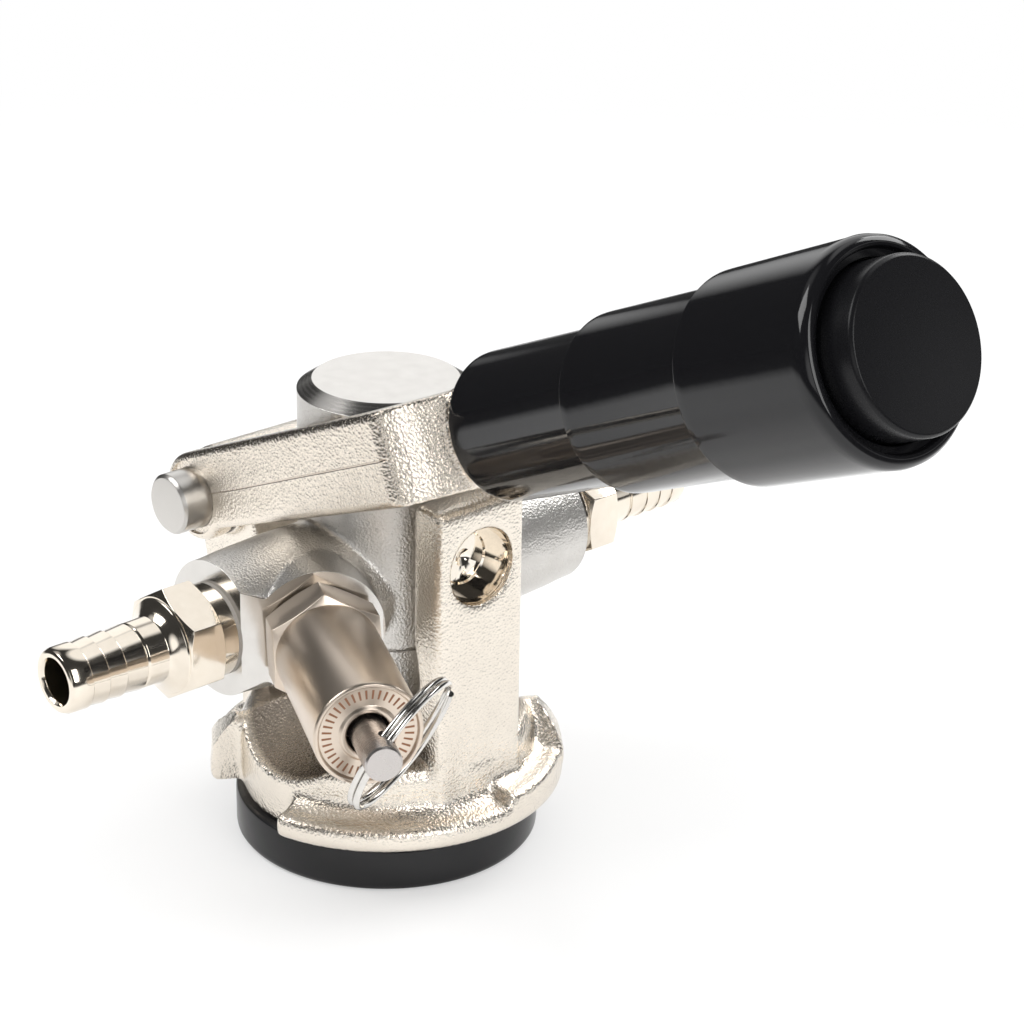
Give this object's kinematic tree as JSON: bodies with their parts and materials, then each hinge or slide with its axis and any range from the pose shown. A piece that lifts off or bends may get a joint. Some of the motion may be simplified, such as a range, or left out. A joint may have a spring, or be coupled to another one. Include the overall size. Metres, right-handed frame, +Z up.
{
  "type": "keg coupler",
  "caption": "Lever keg coupler: twist-on housing with a locking lever that slides a valve head with hose barbs and a relief valve.",
  "frame": {"origin": "centre of the base ring's underside, on the coupler's main axis", "axes": "+Z up along the main axis, +X toward the lever handle, -Y along the beer outlet, +Y along the gas inlet"},
  "size_m": [0.1752, 0.1522, 0.1502],
  "materials": {
    "cast_nickel": "satin warm nickel plate over a fine cast skin",
    "cast_silver": "satin silver, fine bead blast",
    "polished_nickel": "polished nickel plate",
    "turned_steel": "satin turned steel",
    "bright_steel": "bright steel",
    "black_gloss": "gloss black moulded plastic",
    "black_rubber": "matt black rubber",
    "fibre": "pale grey sealing washer"
  },
  "bodies": {
    "coupler": {"housing": "cast_nickel", "base_ring": "black_gloss", "hub_oring": "black_rubber", "base_seal": "black_rubber", "hinge_pin": "turned_steel", "hinge_clip": "bright_steel", "pivot_washer_front": "fibre", "pivot_washer_back": "fibre"},
    "head": {"valve_head": "cast_silver", "probe_tube": "turned_steel", "probe_seal": "black_rubber", "beer_barb": "polished_nickel", "beer_washer": "fibre", "gas_barb": "polished_nickel", "gas_washer": "fibre", "check_seat": "turned_steel", "check_ball": "black_rubber", "relief_body": "turned_steel", "relief_washer": "fibre", "relief_spring": "bright_steel"},
    "lever": {"lever_fork": "cast_nickel", "handle_core": "turned_steel", "handle_bush": "turned_steel", "handle_grip": "black_gloss", "drive_pin_front": "turned_steel", "drive_pin_back": "turned_steel"},
    "latch": {"latch_bolt": "turned_steel", "detent_ring": "black_rubber", "latch_rod": "turned_steel", "latch_button": "black_gloss"},
    "stem": {"relief_stem": "turned_steel", "relief_poppet": "black_rubber"},
    "ring": {"pull_ring": "bright_steel"}
  },
  "joints": [
    {"name": "lever_pivot", "type": "hinge", "parent": "coupler", "child": "lever", "pos_m": [-0.033, 0, 0.0644], "axis": [0, 1, 0], "range_deg": [0, 24]},
    {"name": "head_slide", "type": "slide", "parent": "coupler", "child": "head", "axis": [0, 0, -1], "range_m": [0, 0.01408]},
    {"name": "latch_slide", "type": "slide", "parent": "lever", "child": "latch", "axis": [-0.9135, 0, -0.4067], "range_m": [0, 0.0055]},
    {"name": "relief_pull", "type": "slide", "parent": "head", "child": "stem", "axis": [0.8988, -0.4384, 0], "range_m": [0, 0.003], "stiffness_N_per_m": 900, "springref_m": -0.006, "deforming": ["relief_spring"]},
    {"name": "ring_swing", "type": "hinge", "parent": "stem", "child": "ring", "pos_m": [0.05716, -0.04888, 0.0542], "axis": [-0.2451, -0.5026, -0.829], "range_deg": [0, 110]}
  ],
  "couplings": [
    {"joint": "head_slide", "follows": "lever_pivot", "m_per_rad": 0.033597}
  ]
}
